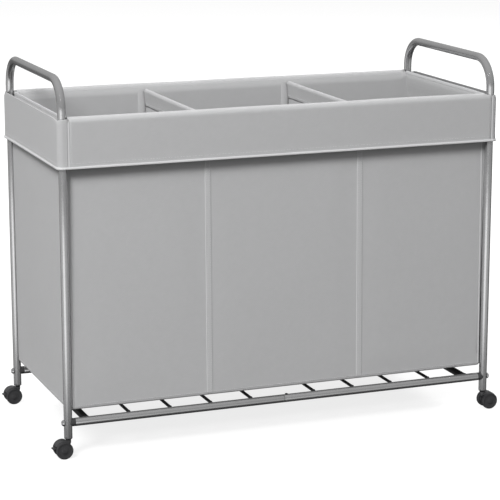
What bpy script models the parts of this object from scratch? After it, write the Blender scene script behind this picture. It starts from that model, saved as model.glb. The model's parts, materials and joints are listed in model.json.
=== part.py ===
"""Three-compartment laundry sorter cart on four twin-wheel casters.

Metres, +Z up. The floor is z = 0, the origin is on the floor under the middle of the cart,
X runs along the cart and the front faces -Y.
"""
import math

import bmesh
import bpy
from mathutils import Matrix, Vector

# ---------------------------------------------------------------- driving dimensions
LEG_X = 0.440            # leg axes, half spacing along the cart
LEG_Y = 0.190            # leg axes, half spacing across the cart
LEG_END_Z = 0.038        # cut bottom ends of the legs
RAIL_Z = 0.0675          # axis of the base rails
HANDLE_Z = 0.717         # axis of the handle bars
BAND_TOP_Z = 0.6515      # fold of the fabric over the top rails
BAND_BOTTOM_Z = 0.556    # hem of the hanging band
BAG_BOTTOM_Z = 0.0905    # underside of the bag
DIVIDER_X = 0.158        # middle of the two dividers

TUBE_R = 0.008
TUBE_WALL = 0.0012
BORE_R = TUBE_R - TUBE_WALL
GAP = 0.0003             # clearance between pieces that touch
TUBE_SIDES = 16

# ---------------------------------------------------------------- frame
NECK_R = BORE_R - GAP    # swaged top end of a leg, inside the handle tube
NECK_WALL = 0.0010
SHOULDER_Z = 0.598       # where the leg meets the handle tube
NECK_LENGTH = 0.024
NECK_TAPER = 0.004       # height of the inside taper below the neck
HANDLE_BEND_R = 0.056
BEND_STEPS = 6
FABRIC = 0.0012          # thickness of the coated fabric
TOP_RAIL_Z = BAND_TOP_Z - FABRIC - GAP - TUBE_R
SADDLE_LENGTH = 0.0055   # saddle washer between leg and rail, on the rail's axis
RAIL_END_X = LEG_X - TUBE_R - SADDLE_LENGTH
SADDLE_R = 0.0079
RAIL_PLUG_WALL = 0.010   # threaded end wall of a rail half
BOLT_R = 0.0030
BOLT_HOLE_R = BOLT_R + GAP
BOLT_HEAD_R = 0.0060
BOLT_HEAD_H = 0.0058
BOLT_DOME = (0, 25, 50, 70)      # degrees round the dome of a bolt head
BOLT_SHORT = 0.002       # the bolt ends this far inside its threaded wall
HEX_R = 0.0017           # hex socket in a bolt head
HEX_DEPTH = 0.0030
SLEEVE_R = BORE_R - GAP  # sleeve inside the two rail halves
SLEEVE_HALF = 0.030
LOCK_SCREW_X = 0.006     # screw that locks a sleeve in a base rail
LOCK_SCREW_R = 0.0014
LOCK_HEAD = ((0.0030, 0.0), (0.0027, 0.0010), (0.0015, 0.0016), (0.0, 0.0018))
CROSSBAR_X = 0.401
CROSSBAR_R = 0.0070
VENT_R = 0.0020          # hole under a crossbar, which lets the weld breathe
WELD = 0.0006            # how far a welded end sinks into the rail's wall
WIRE_R = 0.0030
WIRE_PITCH = 0.0836
WIRE_FIRST = 0.8         # first wire from the cart's middle, in pitches
WIRES = 4                # wires in each half of the base
WIRE_RISE = 0.0065       # wire axes above the rail axis
WIRE_SHORT = 0.0059      # wire ends, short of the rail axis

# ---------------------------------------------------------------- fabric
BAND_OFFSET = 0.0118     # outer face of the band beyond the leg axes
BAND_SEAM_X = 0.4284     # upright seams between end and long band pieces
BAND_END_TOP_Z = 0.6490
LIP_Z = 0.0100           # inner lip of the fold below the top rail axis
LIP_TURN = 0.0040        # upright part of a long panel, under the lip
LONG_FOOT_Z = 0.1200     # long panels stand upright up to here, then lean in to the top rails
PANEL_Y = LEG_Y - 0.0019     # middle of the front and back panels
PANEL_X = LEG_X - 0.0012     # middle of the end panels
PANEL_FRONT_HALF = 0.4300
PANEL_END_HALF = 0.1810
PANEL_TURN_Z = 0.600     # end panels lean in above this height
END_LEAN = 0.030         # height over which an end panel leans in
LINER_X = 0.4330         # middle of the end panels at the rim
LINER_TOP_Z = 0.6490
FLOOR_CORNER = 0.0100    # clipped corners of the bag floor, inside the legs
BOARD = 0.0020
BOARD_HALF_Y = 0.1780
BOARD_GAP = 0.0080       # board edge to divider middle
BOARD_END_X = 0.4270
ROD_R = 0.0040
ROD_Z = 0.6360
ROD_HALF = 0.1740
HEM_R = 0.0056
DIVIDER_HALF_Y = 0.1790

# ---------------------------------------------------------------- casters
WHEEL_R = 0.0166
WHEEL_SIDES = 20
AXLE_Z = WHEEL_R * math.cos(math.pi / WHEEL_SIDES)   # a flat facet is on the floor
TRAIL = 0.0108           # wheel axle behind the swivel axis
AXLE_R = 0.0018
AXLE_HALF = 0.0124
STEM_R = 0.0032
STEM_TOP_Z = 0.0590
STEM_SEAT = 0.0040       # length of the stem inside the neck
STEM_CHAMFER = 0.0010
GRIP_DEPTH = 0.0006      # groove for the grip ring near the stem's top
GRIP_DROP = 0.0060
GRIP_WIDTH = 0.0020
SOCKET_TOP_Z = 0.0610
SOCKET_FLANGE_Z = 0.0348
SOCKET_TIP_R = 0.0052
SOCKET_RIM_R = 0.0079
SOCKET_RIM_H = 0.0008
NECK_TOP_Z = 0.0340
NECK_OUTLINE = ((0.0040, 0.0262), (0.0050, 0.0300), (0.0050, 0.0330), (0.0042, NECK_TOP_Z))
HOOD_R = 0.0174
HOOD_IN_R = 0.0152
HOOD_HALF = 0.0066
HOOD_STEPS = 8
WEB_HALF = 0.0030
WEB_R = 0.0166
WEB_TRIM = 2.0           # degrees the web stays inside the hood at each end
BOSS_R = 0.0044          # web round the axle
HOOD_FROM = 28.0         # degrees about the axle, from the trailing side upwards
HOOD_TO = 132.0
LUG_HALF = 0.0050
LUG_R = 0.0024
LUG_TOP_Z = 0.0243
LUG_TOP_OUT = 0.0005
LEVER_HALF = 0.0027
LEVER_PIVOT = (0.0256, 0.0192)   # along the trail and above the floor
LEVER_SLOT = (-0.0034, 0.0090, 0.0150, 0.0226)    # from and to the pivot, then heights
LEVER_HEEL_R = 0.0019
LEVER_WEDGE = ((0.0020, -0.0017), (0.0077, 0.0004), (0.0077, 0.0014), (0.0030, 0.0024))
TRUNNION_R = 0.0009
HUB_R = 0.0118           # inner part of a wheel, beside the web
HUB_IN = 0.0034
RIM_IN = 0.0071          # rim of a wheel, beside the hood
RIM_BEVEL = 0.0010
WHEEL_OUT = 0.0150
RIM_BEVEL_R = 0.0146
FACE_R = 0.0118          # shallow recess in a wheel's outer face
FACE_DEPTH = 0.0007
CAP_IN = 0.0128          # closed end of the axle bore

LEGS = (
    ("front_left", -1, -1),
    ("front_right", 1, -1),
    ("rear_left", -1, 1),
    ("rear_right", 1, 1),
)


# ---------------------------------------------------------------- helpers
def material(name, colour, roughness, metallic=0.0):
    mat = bpy.data.materials.new(name)
    mat.use_nodes = True
    shader = mat.node_tree.nodes["Principled BSDF"]
    shader.inputs["Base Color"].default_value = (*colour, 1.0)
    shader.inputs["Roughness"].default_value = roughness
    shader.inputs["Metallic"].default_value = metallic
    return mat


def add(name, mesh, mat, location=(0, 0, 0), turn=0.0, parent=None):
    """One named object, turned about Z and placed, with its own copy of a material."""
    obj = bpy.data.objects.new(name, mesh)
    bpy.context.scene.collection.objects.link(obj)
    if not mesh.materials:
        mesh.materials.append(None)
    own = mat.copy()
    own.name = name
    obj.material_slots[0].link = "OBJECT"
    obj.material_slots[0].material = own
    obj.location = location
    obj.rotation_euler = (0.0, 0.0, turn)
    obj.parent = parent
    return obj


def to_mesh(name, bm, smooth=True):
    bmesh.ops.recalc_face_normals(bm, faces=bm.faces)
    mesh = bpy.data.meshes.new(name)
    bm.to_mesh(mesh)
    bm.free()
    if smooth:
        mesh.shade_smooth()
        mesh.set_sharp_from_angle(angle=math.radians(35))
    return mesh


AXES = {
    "X": Matrix(((0, 0, 1), (1, 0, 0), (0, 1, 0))).to_4x4(),
    "Y": Matrix(((0, 1, 0), (0, 0, 1), (1, 0, 0))).to_4x4(),
    "Z": Matrix.Identity(4),
}


def revolve(bm, profile, sides, axis="Z", at=(0, 0, 0), phase=0.5):
    """Turn a closed (radius, height) outline about an axis through a point.

    Points of radius 0 become one vertex. phase shifts the facets by a part of a side.
    """
    place = Matrix.Translation(at) @ AXES[axis]
    rings = []
    for radius, height in profile:
        if radius == 0.0:
            rings.append([bm.verts.new(place @ Vector((0, 0, height)))])
            continue
        ring = []
        for i in range(sides):
            angle = 2 * math.pi * (i + phase) / sides
            point = Vector((radius * math.cos(angle), radius * math.sin(angle), height))
            ring.append(bm.verts.new(place @ point))
        rings.append(ring)
    for k, ring in enumerate(rings):
        following = rings[(k + 1) % len(rings)]
        if len(ring) == 1 and len(following) == 1:
            continue
        for i in range(sides):
            j = (i + 1) % sides
            if len(ring) == 1:
                bm.faces.new((ring[0], following[j], following[i]))
            elif len(following) == 1:
                bm.faces.new((ring[i], ring[j], following[0]))
            else:
                bm.faces.new((ring[i], ring[j], following[j], following[i]))
    return bm


def rod_profile(radius, start, end):
    return [(0.0, start), (radius, start), (radius, end), (0.0, end)]


def tube_profile(outer, inner, start, end):
    return [(inner, start), (outer, start), (outer, end), (inner, end)]


def cylinder(radius, start, end, axis, at, sides=12):
    bm = revolve(bmesh.new(), rod_profile(radius, start, end), sides, axis, at)
    return to_mesh("cylinder", bm)


def combine(mesh, others, operation):
    """The Boolean of a mesh with others, as a new mesh."""
    result = mesh
    for other in others:
        host = bpy.data.objects.new("host", result)
        tool = bpy.data.objects.new("tool", other)
        for obj in (host, tool):
            bpy.context.scene.collection.objects.link(obj)
        boolean = host.modifiers.new("boolean", "BOOLEAN")
        boolean.operation = operation
        boolean.solver = "EXACT"
        boolean.object = tool
        bpy.context.view_layer.update()
        graph = bpy.context.evaluated_depsgraph_get()
        result = bpy.data.meshes.new_from_object(host.evaluated_get(graph))
        for obj in (host, tool):
            bpy.data.objects.remove(obj)
    result.shade_smooth()
    result.set_sharp_from_angle(angle=math.radians(35))
    return result


def offset_path(path, distance):
    """A path in a plane, moved sideways by a distance."""
    moved = []
    for i, point in enumerate(path):
        before = path[max(i - 1, 0)]
        after = path[min(i + 1, len(path) - 1)]
        to_point = (point - before).normalized() if i else (after - point).normalized()
        from_point = (after - point).normalized() if i < len(path) - 1 else to_point
        normal = Vector((-to_point.y - from_point.y, to_point.x + from_point.x)).normalized()
        stretch = 1.0 / max(normal.dot(Vector((-to_point.y, to_point.x))), 0.5)
        moved.append(point + normal * distance * stretch)
    return moved


def sheet_solid(name, path, low, high, along, thickness=FABRIC):
    """Fabric of even thickness: a path in a plane, drawn out along the third axis."""
    path = [Vector(point) for point in path]
    sides = (offset_path(path, thickness / 2), offset_path(path, -thickness / 2))

    def place(point, depth):
        if along == "X":
            return Vector((depth, point.x, point.y))
        if along == "Y":
            return Vector((point.x, depth, point.y))
        return Vector((point.x, point.y, depth))

    bm = bmesh.new()
    rows = [[bm.verts.new(place(p, d)) for p in side] for d in (low, high) for side in sides]
    low_left, low_right, high_left, high_right = rows
    for a, b in ((low_left, low_right), (low_left, high_left),
                 (high_left, high_right), (low_right, high_right)):
        for i in range(len(path) - 1):
            bm.faces.new((a[i], a[i + 1], b[i + 1], b[i]))
    for i in (0, len(path) - 1):
        bm.faces.new((low_left[i], low_right[i], high_right[i], high_left[i]))
    return to_mesh(name, bm)


def slab(name, outline, low, high):
    """A flat plate from a plan outline."""
    bm = bmesh.new()
    bottom = [bm.verts.new((x, y, low)) for x, y in outline]
    top = [bm.verts.new((x, y, high)) for x, y in outline]
    bm.faces.new(bottom)
    bm.faces.new(top)
    for i in range(len(outline)):
        j = (i + 1) % len(outline)
        bm.faces.new((bottom[i], bottom[j], top[j], top[i]))
    return to_mesh(name, bm, smooth=False)


def arc(centre, radius_u, radius_v, start, end, steps):
    """Points of an elliptic arc, angles in degrees."""
    points = []
    for i in range(steps + 1):
        angle = math.radians(start + (end - start) * i / steps)
        points.append((centre[0] + radius_u * math.cos(angle),
                       centre[1] + radius_v * math.sin(angle)))
    return points


# ---------------------------------------------------------------- frame pieces
def leg_mesh():
    """Leg tube with a swaged neck at the top and a cross hole for the base bolt."""
    profile = [
        (BORE_R, LEG_END_Z), (TUBE_R, LEG_END_Z), (TUBE_R, SHOULDER_Z),
        (NECK_R, SHOULDER_Z), (NECK_R, SHOULDER_Z + NECK_LENGTH),
        (NECK_R - NECK_WALL, SHOULDER_Z + NECK_LENGTH),
        (NECK_R - NECK_WALL, SHOULDER_Z - NECK_TAPER), (BORE_R, SHOULDER_Z - 2 * NECK_TAPER),
    ]
    tube = to_mesh("leg", revolve(bmesh.new(), profile, TUBE_SIDES))
    drill = cylinder(BOLT_HOLE_R, -2 * TUBE_R, 2 * TUBE_R, "X", (0, 0, RAIL_Z))
    return combine(tube, [drill], "DIFFERENCE")


def handle_path():
    """Centre line of a handle in its own plane, from the front end to the rear end."""
    bend_y = LEG_Y - HANDLE_BEND_R
    bend_z = HANDLE_Z - HANDLE_BEND_R
    start = [(-LEG_Y, SHOULDER_Z + GAP)]
    front = arc((-bend_y, bend_z), HANDLE_BEND_R, HANDLE_BEND_R, 180, 90, BEND_STEPS)
    rear = arc((bend_y, bend_z), HANDLE_BEND_R, HANDLE_BEND_R, 90, 0, BEND_STEPS)
    return start + front + rear + [(LEG_Y, SHOULDER_Z + GAP)]


def handle_mesh():
    """Bent handle tube, open at both ends."""
    path = [Vector(point) for point in handle_path()]
    bm = bmesh.new()
    shells = []
    for radius in (TUBE_R, BORE_R):
        rings = []
        for i, point in enumerate(path):
            before = path[max(i - 1, 0)]
            after = path[min(i + 1, len(path) - 1)]
            along = ((point - before).normalized() + (after - point).normalized()).normalized()
            side = Vector((-along.y, along.x))
            ring = []
            for k in range(TUBE_SIDES):
                angle = 2 * math.pi * (k + 0.5) / TUBE_SIDES
                across = point + side * radius * math.sin(angle)
                ring.append(bm.verts.new((radius * math.cos(angle), across.x, across.y)))
            rings.append(ring)
        shells.append(rings)
        for a, b in zip(rings, rings[1:]):
            for k in range(TUBE_SIDES):
                j = (k + 1) % TUBE_SIDES
                bm.faces.new((a[k], a[j], b[j], b[k]))
    outer, inner = shells
    for end in (0, -1):
        for k in range(TUBE_SIDES):
            j = (k + 1) % TUBE_SIDES
            bm.faces.new((outer[end][k], outer[end][j], inner[end][j], inner[end][k]))
    return to_mesh("handle", bm)


def tube_mesh(outer, inner, start, end, axis, at, sides=TUBE_SIDES):
    bm = revolve(bmesh.new(), tube_profile(outer, inner, start, end), sides, axis, at)
    return to_mesh("tube", bm)


def base_panel_mesh(side):
    """One welded half of the base: two rails, a crossbar tube and the wires.

    The rails are open at the cart's middle and have a threaded wall at the legs.
    """
    thread_r = BOLT_R + GAP
    profile = [
        (BORE_R, GAP), (TUBE_R, GAP), (TUBE_R, RAIL_END_X), (thread_r, RAIL_END_X),
        (thread_r, RAIL_END_X - RAIL_PLUG_WALL), (BORE_R, RAIL_END_X - RAIL_PLUG_WALL),
    ]
    profile = [(radius, side * x) for radius, x in profile]
    rails = [
        to_mesh("rail", revolve(bmesh.new(), profile, TUBE_SIDES, "X", (0, y, RAIL_Z)))
        for y in (-LEG_Y, LEG_Y)
    ]
    reach = LEG_Y - TUBE_R + WELD
    crossbar = tube_mesh(CROSSBAR_R, CROSSBAR_R - TUBE_WALL, -reach, reach, "Y",
                         (side * CROSSBAR_X, 0, RAIL_Z))
    wire_end = LEG_Y - WIRE_SHORT
    wires = [
        cylinder(WIRE_R, -wire_end, wire_end, "Y",
                 (side * WIRE_PITCH * (i + WIRE_FIRST), 0, RAIL_Z + WIRE_RISE), 10)
        for i in range(WIRES)
    ]
    welded = combine(crossbar, rails + wires, "UNION")
    drills = [cylinder(VENT_R, -2 * CROSSBAR_R, 0, "Z", (side * CROSSBAR_X, 0, RAIL_Z))]
    if side > 0:
        drills += [
            cylinder(LOCK_SCREW_R + GAP, 0, 2 * TUBE_R, "Z", (LOCK_SCREW_X, y, RAIL_Z))
            for y in (-LEG_Y, LEG_Y)
        ]
    return combine(welded, drills, "DIFFERENCE")


def sleeve_mesh():
    """Sleeve inside the two halves of a base rail."""
    sleeve = tube_mesh(SLEEVE_R, SLEEVE_R - TUBE_WALL, -SLEEVE_HALF, SLEEVE_HALF, "X",
                       (0, 0, 0), 16)
    drill = cylinder(LOCK_SCREW_R + GAP, 0, TUBE_R, "Z", (LOCK_SCREW_X, 0, 0))
    return combine(sleeve, [drill], "DIFFERENCE")


def lock_screw_mesh():
    """Small screw through the top of a base rail into its sleeve."""
    tip = SLEEVE_R - 2 * TUBE_WALL
    seat = TUBE_R + GAP
    profile = [(0.0, tip), (LOCK_SCREW_R, tip), (LOCK_SCREW_R, seat)]
    profile += [(radius, seat + height) for radius, height in LOCK_HEAD]
    return to_mesh("lock_screw", revolve(bmesh.new(), profile, 12))


def saddle_mesh():
    """Saddle washer, hollowed to the leg and drilled for the bolt. The leg axis is at X = 0."""
    start = RAIL_END_X - LEG_X + GAP
    blank = cylinder(SADDLE_R, start, 0, "X", (0, 0, 0), TUBE_SIDES)
    leg = cylinder(TUBE_R + GAP, -2 * TUBE_R, 2 * TUBE_R, "Z", (0, 0, 0), 20)
    drill = cylinder(BOLT_HOLE_R, 2 * start, 0, "X", (0, 0, 0))
    return combine(blank, [leg, drill], "DIFFERENCE")


def bolt_mesh():
    """Domed bolt through a leg into its rail. The leg axis is at X = 0."""
    tip = RAIL_END_X - LEG_X - RAIL_PLUG_WALL + BOLT_SHORT
    seat = TUBE_R + GAP
    profile = [(0.0, tip), (BOLT_R, tip), (BOLT_R, seat)]
    for angle in BOLT_DOME:
        turn = math.radians(angle)
        profile.append((BOLT_HEAD_R * math.cos(turn), seat + BOLT_HEAD_H * math.sin(turn)))
    top = profile[-1][1]
    profile.append((0.0, top))
    blank = to_mesh("bolt", revolve(bmesh.new(), profile, 16, "X"))
    socket = cylinder(HEX_R, top - HEX_DEPTH, top + HEX_DEPTH, "X", (0, 0, 0), 6)
    return combine(blank, [socket], "DIFFERENCE")


def socket_mesh():
    """Plastic caster socket pressed into a leg's end, with a tapered rim."""
    profile = [
        (STEM_R + GAP, SOCKET_FLANGE_Z), (SOCKET_TIP_R, SOCKET_FLANGE_Z),
        (SOCKET_RIM_R, LEG_END_Z - SOCKET_RIM_H),
        (SOCKET_RIM_R, LEG_END_Z - GAP), (BORE_R - GAP, LEG_END_Z - GAP),
        (BORE_R - GAP, SOCKET_TOP_Z), (STEM_R + GAP, SOCKET_TOP_Z),
    ]
    return to_mesh("caster_socket", revolve(bmesh.new(), profile, TUBE_SIDES))


# ---------------------------------------------------------------- fabric pieces
def band_long_mesh(side):
    """Front or back band: an inner lip, a fold over the top rail and the hanging band."""
    rail_y = side * LEG_Y
    inner = TUBE_R + GAP + FABRIC / 2
    outer = BAND_OFFSET - FABRIC / 2
    path = [(rail_y - side * inner, TOP_RAIL_Z - LIP_Z)]
    path += arc((rail_y, TOP_RAIL_Z), -side * inner, inner, 0, 90, 5)
    path += arc((rail_y, TOP_RAIL_Z), side * outer, inner, 90, 0, 5)[1:]
    path.append((rail_y + side * outer, BAND_BOTTOM_Z))
    return sheet_solid("band_long", path, -BAND_SEAM_X + GAP, BAND_SEAM_X - GAP, "X")


def band_end_mesh(side):
    """Left or right band, wrapped round the outside of two tubes."""
    outer = BAND_OFFSET - FABRIC / 2
    path = [(side * BAND_SEAM_X, -LEG_Y - outer)]
    path += arc((side * LEG_X, -LEG_Y), side * outer, outer, -90, 0, 6)
    path += arc((side * LEG_X, LEG_Y), side * outer, outer, 0, 90, 6)
    path.append((side * BAND_SEAM_X, LEG_Y + outer))
    return sheet_solid("band_end", path, BAND_BOTTOM_Z, BAND_END_TOP_Z, "Z")


def panel_long_mesh(side):
    """Front or back panel of the bag, leaning in to pass behind the top rail."""
    rim_y = LEG_Y - TUBE_R - GAP - FABRIC / 2
    lip_z = TOP_RAIL_Z - LIP_Z
    path = [
        (side * PANEL_Y, BAG_BOTTOM_Z), (side * PANEL_Y, LONG_FOOT_Z),
        (side * rim_y, lip_z - LIP_TURN), (side * rim_y, lip_z - GAP),
    ]
    return sheet_solid("panel_long", path, -PANEL_FRONT_HALF, PANEL_FRONT_HALF, "X")


def panel_end_mesh(side):
    """Left or right panel of the bag, leaning in to pass inside the handle tubes."""
    path = [
        (side * PANEL_X, BAG_BOTTOM_Z), (side * PANEL_X, PANEL_TURN_Z),
        (side * LINER_X, PANEL_TURN_Z + END_LEAN), (side * LINER_X, LINER_TOP_Z),
    ]
    return sheet_solid("panel_end", path, -PANEL_END_HALF, PANEL_END_HALF, "Y")


def floor_mesh():
    """Fabric floor of the bag, with corners clipped inside the legs."""
    half_x = PANEL_X - FABRIC / 2 - GAP
    half_y = PANEL_Y - FABRIC / 2 - GAP
    outline = []
    for sx, sy in ((1, -1), (1, 1), (-1, 1), (-1, -1)):
        corner = [(sx * (half_x - FLOOR_CORNER), sy * half_y),
                  (sx * half_x, sy * (half_y - FLOOR_CORNER))]
        outline += corner if sx * sy < 0 else corner[::-1]
    return slab("bag_floor", outline, BAG_BOTTOM_Z, BAG_BOTTOM_Z + FABRIC)


def board_mesh(low_x, high_x):
    """Stiff board on the floor of one compartment."""
    base = BAG_BOTTOM_Z + FABRIC + GAP
    outline = [(low_x, -BOARD_HALF_Y), (high_x, -BOARD_HALF_Y),
               (high_x, BOARD_HALF_Y), (low_x, BOARD_HALF_Y)]
    return slab("board", outline, base, base + BOARD)


def divider_mesh():
    """Divider panel whose top hem wraps the stiffening rod."""
    base = BAG_BOTTOM_Z + FABRIC + GAP
    half = FABRIC / 2
    neck = math.degrees(math.asin(half / HEM_R))
    outline = [(-half, base), (half, base)]
    outline += arc((0, ROD_Z), HEM_R, HEM_R, -90 + neck, 270 - neck, 16)
    bm = bmesh.new()
    front = [bm.verts.new((x, -DIVIDER_HALF_Y, z)) for x, z in outline]
    back = [bm.verts.new((x, DIVIDER_HALF_Y, z)) for x, z in outline]
    bm.faces.new(front)
    bm.faces.new(back)
    for i in range(len(outline)):
        j = (i + 1) % len(outline)
        bm.faces.new((front[i], front[j], back[j], back[i]))
    bore = cylinder(ROD_R + GAP, -2 * DIVIDER_HALF_Y, 2 * DIVIDER_HALF_Y, "Y", (0, 0, ROD_Z))
    return combine(to_mesh("divider", bm), [bore], "DIFFERENCE")


# ---------------------------------------------------------------- caster pieces
# A caster's own X runs from the swivel axis to the axle. Its origin is on the floor.
def plate(outline, half):
    """An outline in the caster's XZ plane, given thickness across the wheels."""
    bm = bmesh.new()
    near = [bm.verts.new((x, -half, z)) for x, z in outline]
    far = [bm.verts.new((x, half, z)) for x, z in outline]
    bm.faces.new(near)
    bm.faces.new(far)
    for i in range(len(outline)):
        j = (i + 1) % len(outline)
        bm.faces.new((near[i], near[j], far[j], far[i]))
    return to_mesh("plate", bm)


def stem_mesh():
    """Steel stem, pressed into the housing's neck, with a groove for the grip ring."""
    base = NECK_TOP_Z - STEM_SEAT
    groove = STEM_TOP_Z - GRIP_DROP
    profile = [
        (0.0, base), (STEM_R, base), (STEM_R, groove),
        (STEM_R - GRIP_DEPTH, groove), (STEM_R - GRIP_DEPTH, groove + GRIP_WIDTH),
        (STEM_R, groove + GRIP_WIDTH), (STEM_R, STEM_TOP_Z - STEM_CHAMFER),
        (STEM_R - STEM_CHAMFER, STEM_TOP_Z), (0.0, STEM_TOP_Z),
    ]
    return to_mesh("stem", revolve(bmesh.new(), profile, 12))


def housing_mesh(braked):
    """Caster housing with its stem: hood, central web with the axle bore, and neck."""
    axle = (TRAIL, AXLE_Z)
    hood = arc(axle, HOOD_R, HOOD_R, HOOD_FROM, HOOD_TO, HOOD_STEPS)
    hood += arc(axle, HOOD_IN_R, HOOD_IN_R, HOOD_TO, HOOD_FROM, HOOD_STEPS)
    web = arc(axle, WEB_R, WEB_R, HOOD_FROM + WEB_TRIM, HOOD_TO - WEB_TRIM, HOOD_STEPS)
    web += arc(axle, BOSS_R, BOSS_R, 190, 350, 5)
    neck = [(0.0, NECK_OUTLINE[0][1]), *NECK_OUTLINE, (0.0, NECK_TOP_Z)]
    parts = [plate(web, WEB_HALF), to_mesh("neck", revolve(bmesh.new(), neck, 12)), stem_mesh()]
    drills = [cylinder(AXLE_R + GAP, -HOOD_HALF, HOOD_HALF, "Y", (TRAIL, 0, AXLE_Z))]
    if braked:
        x, z = LEVER_PIVOT
        lug = arc(LEVER_PIVOT, LUG_R, LUG_R, -100, 40, 6)
        lug += [(x + LUG_TOP_OUT, LUG_TOP_Z), (x - LUG_R, LUG_TOP_Z)]
        parts.append(plate(lug, LUG_HALF))
        start, end, low, high = LEVER_SLOT
        slot = [(x + start, low), (x + end, low), (x + end, high), (x + start, high)]
        drills.append(plate(slot, LEVER_HALF + GAP))
        drills.append(cylinder(TRUNNION_R + GAP, -HOOD_HALF, HOOD_HALF, "Y", (x, 0, z), 10))
    body = combine(plate(hood, HOOD_HALF), parts, "UNION")
    return combine(body, drills, "DIFFERENCE")


def lever_mesh():
    """Brake lever, with its origin on its pivot: a wedge with moulded trunnions."""
    outline = arc((0, 0), LEVER_HEEL_R, LEVER_HEEL_R, 110, 250, 6) + list(LEVER_WEDGE)
    pin = cylinder(TRUNNION_R, -LUG_HALF + GAP, LUG_HALF - GAP, "Y", (0, 0, 0), 10)
    return combine(plate(outline, LEVER_HALF), [pin], "UNION")


def wheel_mesh():
    """One wheel of a twin, with its origin on the axle: +Y is its outer face."""
    bore = AXLE_R + GAP
    face = WHEEL_OUT - FACE_DEPTH
    profile = [
        (bore, HUB_IN), (HUB_R, HUB_IN), (HUB_R, RIM_IN), (RIM_BEVEL_R, RIM_IN),
        (WHEEL_R, RIM_IN + RIM_BEVEL), (WHEEL_R, WHEEL_OUT - RIM_BEVEL),
        (WHEEL_R - RIM_BEVEL, WHEEL_OUT), (FACE_R, WHEEL_OUT),
        (FACE_R - FACE_DEPTH, face), (0.0, face), (0.0, CAP_IN), (bore, CAP_IN),
    ]
    return to_mesh("wheel", revolve(bmesh.new(), profile, WHEEL_SIDES, "Y"))


# ---------------------------------------------------------------- assembly
def clear_scene():
    for obj in list(bpy.data.objects):
        bpy.data.objects.remove(obj, do_unlink=True)


def build_frame(steel, plastic, zinc):
    leg = leg_mesh()
    saddle = saddle_mesh()
    bolt = bolt_mesh()
    socket = socket_mesh()
    for name, side_x, side_y in LEGS:
        x = side_x * LEG_X
        y = side_y * LEG_Y
        turn = 0.0 if side_x > 0 else math.pi
        add(f"leg_{name}", leg, steel, (x, y, 0))
        add(f"saddle_washer_{name}", saddle, plastic, (x, y, RAIL_Z), turn)
        add(f"base_bolt_{name}", bolt, zinc, (x, y, RAIL_Z), turn)
        add(f"caster_socket_{name}", socket, plastic, (x, y, 0))
    handle = handle_mesh()
    for name, side in (("left", -1), ("right", 1)):
        add(f"handle_{name}", handle, steel, (side * LEG_X, 0, 0))
        add(f"base_panel_{name}", base_panel_mesh(side), steel)
    reach = LEG_X - TUBE_R - GAP
    top_rail = tube_mesh(TUBE_R, BORE_R, -reach, reach, "X", (0, 0, 0))
    sleeve = sleeve_mesh()
    lock_screw = lock_screw_mesh()
    for name, y in (("front", -LEG_Y), ("rear", LEG_Y)):
        add(f"top_rail_{name}", top_rail, steel, (0, y, TOP_RAIL_Z))
        add(f"rail_sleeve_{name}", sleeve, zinc, (0, y, RAIL_Z))
        add(f"lock_screw_{name}", lock_screw, zinc, (LOCK_SCREW_X, y, RAIL_Z))


def build_bag(fabric, board, steel):
    for name, side in (("front", -1), ("rear", 1)):
        add(f"band_{name}", band_long_mesh(side), fabric)
        add(f"bag_{name}", panel_long_mesh(side), fabric)
    divider = divider_mesh()
    rod = cylinder(ROD_R, -ROD_HALF, ROD_HALF, "Y", (0, 0, 0))
    for name, side in (("left", -1), ("right", 1)):
        add(f"band_{name}", band_end_mesh(side), fabric)
        add(f"bag_{name}", panel_end_mesh(side), fabric)
        add(f"divider_{name}", divider, fabric, (side * DIVIDER_X, 0, 0))
        add(f"divider_rod_{name}", rod, steel, (side * DIVIDER_X, 0, ROD_Z))
    add("bag_floor", floor_mesh(), fabric)
    inner = DIVIDER_X - BOARD_GAP
    outer = DIVIDER_X + BOARD_GAP
    add("board_left", board_mesh(-BOARD_END_X, -outer), board)
    add("board_middle", board_mesh(-inner, inner), board)
    add("board_right", board_mesh(outer, BOARD_END_X), board)


def build_casters(plastic, tread, zinc):
    housings = {braked: housing_mesh(braked) for braked in (True, False)}
    axle = cylinder(AXLE_R, -AXLE_HALF, AXLE_HALF, "Y", (0, 0, 0))
    wheel = wheel_mesh()
    lever = lever_mesh()
    for name, side_x, side_y in LEGS:
        trail_turn = 0.0 if side_x > 0 else math.pi
        swivel = bpy.data.objects.new(f"swivel_{name}", None)
        bpy.context.scene.collection.objects.link(swivel)
        swivel.location = (side_x * LEG_X, side_y * LEG_Y, 0)
        swivel.rotation_euler = (0, 0, trail_turn)
        braked = side_x < 0
        add(f"caster_housing_{name}", housings[braked], plastic, parent=swivel)
        at_axle = (TRAIL, 0, AXLE_Z)
        add(f"caster_axle_{name}", axle, zinc, at_axle, parent=swivel)
        for which, facing in (("near", -1), ("far", 1)):
            world_turn = 0.0 if facing > 0 else math.pi
            add(f"wheel_{name}_{which}", wheel, tread, at_axle, world_turn - trail_turn, swivel)
        if braked:
            at_pivot = (LEVER_PIVOT[0], 0, LEVER_PIVOT[1])
            add(f"brake_lever_{name}", lever, plastic, at_pivot, parent=swivel)


def main():
    clear_scene()
    steel = material("grey_painted_steel", (0.35, 0.35, 0.36), 0.35, 0.6)
    zinc = material("zinc_steel", (0.60, 0.60, 0.60), 0.30, 1.0)
    plastic = material("black_plastic", (0.03, 0.03, 0.03), 0.45)
    tread = material("wheel_plastic", (0.04, 0.04, 0.04), 0.50)
    fabric = material("grey_oxford_fabric", (0.40, 0.40, 0.40), 0.85)
    board = material("fibre_board", (0.30, 0.30, 0.30), 0.80)
    build_frame(steel, plastic, zinc)
    build_bag(fabric, board, steel)
    build_casters(plastic, tread, zinc)


main()
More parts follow.
